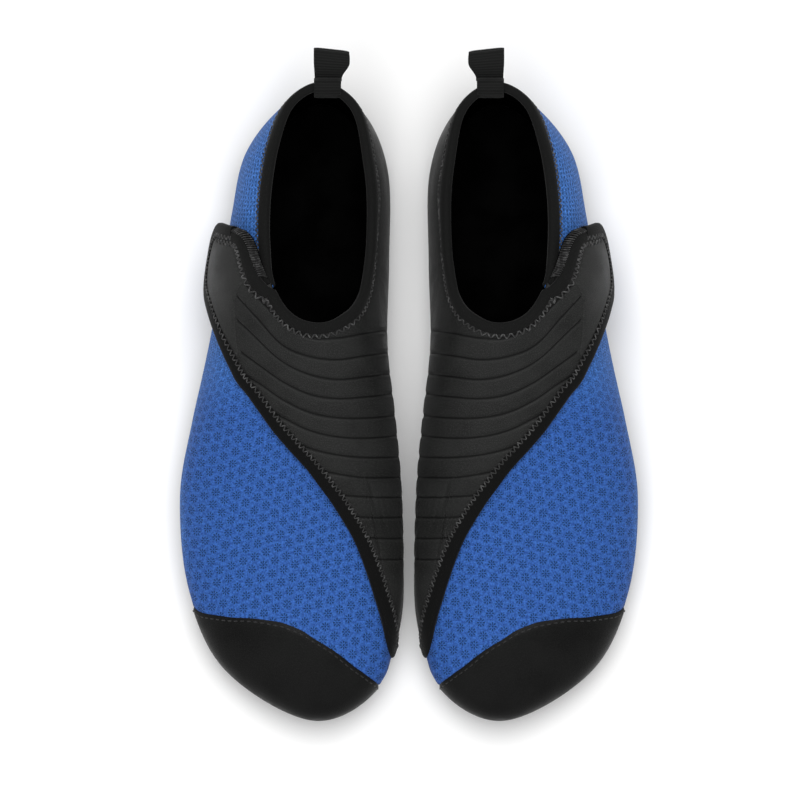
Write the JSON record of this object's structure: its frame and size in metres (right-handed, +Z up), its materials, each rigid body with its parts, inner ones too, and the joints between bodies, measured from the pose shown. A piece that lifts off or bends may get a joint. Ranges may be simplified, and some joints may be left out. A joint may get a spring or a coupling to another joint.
{
  "type": "neoprene boots",
  "caption": "Low neoprene water shoes, a matched pair, with mesh forefoot, black toe cap, ribbed instep flap closing on a side hook-and-loop tab, and a heel pull loop.",
  "frame": {"origin": "on the ground, at the centre of the pair's bounding box in plan, halfway between the boots", "axes": "+X from the right boot towards the left boot, +Y from the toes towards the heels, +Z up"},
  "size_m": [0.1952, 0.2869, 0.0824],
  "materials": {
    "rubber": "matt moulded rubber",
    "foam": "cloth-faced foam",
    "coated_cloth": "smooth coated cloth with a faint sheen",
    "blue_mesh": "knitted air mesh with small ring-shaped dimples",
    "neoprene": "matt knit-faced neoprene with pressed ribs",
    "knit": "matt stretch knit",
    "tape": "hook and loop tape",
    "binding": "matt folded edge binding with zigzag stitches",
    "webbing": "ribbed narrow webbing"
  },
  "bodies": {
    "right_boot": {"right_outsole": "rubber", "right_insole_board": "foam", "right_sockliner": "foam", "right_toe_cap": "coated_cloth", "right_mesh_panel": "blue_mesh", "right_medial_panel": "neoprene", "right_heel_panel": "neoprene", "right_gusset": "knit", "right_loop_tape": "tape", "right_collar_binding": "binding", "right_diagonal_binding": "binding", "right_loop_anchor": "webbing"},
    "right_flap": {"right_instep_flap": "neoprene", "right_tab_pad": "coated_cloth", "right_tab_lining": "knit", "right_hook_tape": "tape", "right_flap_lower_binding": "binding", "right_flap_upper_binding": "binding"},
    "right_loop": {"right_pull_loop": "webbing"},
    "left_boot": {"left_outsole": "rubber", "left_insole_board": "foam", "left_sockliner": "foam", "left_toe_cap": "coated_cloth", "left_mesh_panel": "blue_mesh", "left_medial_panel": "neoprene", "left_heel_panel": "neoprene", "left_gusset": "knit", "left_loop_tape": "tape", "left_collar_binding": "binding", "left_diagonal_binding": "binding", "left_loop_anchor": "webbing"},
    "left_flap": {"left_instep_flap": "neoprene", "left_tab_pad": "coated_cloth", "left_tab_lining": "knit", "left_hook_tape": "tape", "left_flap_lower_binding": "binding", "left_flap_upper_binding": "binding"},
    "left_loop": {"left_pull_loop": "webbing"}
  },
  "joints": [
    {"name": "pair_apart", "type": "slide", "parent": "right_boot", "child": "left_boot", "axis": [1, 0, 0], "range_m": [0, 0.15]},
    {"name": "right_flap_fold", "type": "hinge", "parent": "right_boot", "child": "right_flap", "pos_m": [-0.03286, -0.00594, 0.07197], "axis": [0.1386, 0.954, 0.2657], "range_deg": [0, 105]},
    {"name": "right_loop_swing", "type": "hinge", "parent": "right_boot", "child": "right_loop", "pos_m": [-0.0361, 0.1324, 0.0746], "axis": [1, 0, 0], "range_deg": [-85, 55]},
    {"name": "left_flap_fold", "type": "hinge", "parent": "left_boot", "child": "left_flap", "pos_m": [0.03286, -0.00594, 0.07197], "axis": [0.1386, -0.954, -0.2657], "range_deg": [0, 105]},
    {"name": "left_loop_swing", "type": "hinge", "parent": "left_boot", "child": "left_loop", "pos_m": [0.0361, 0.1324, 0.0746], "axis": [1, 0, 0], "range_deg": [-85, 55]}
  ]
}
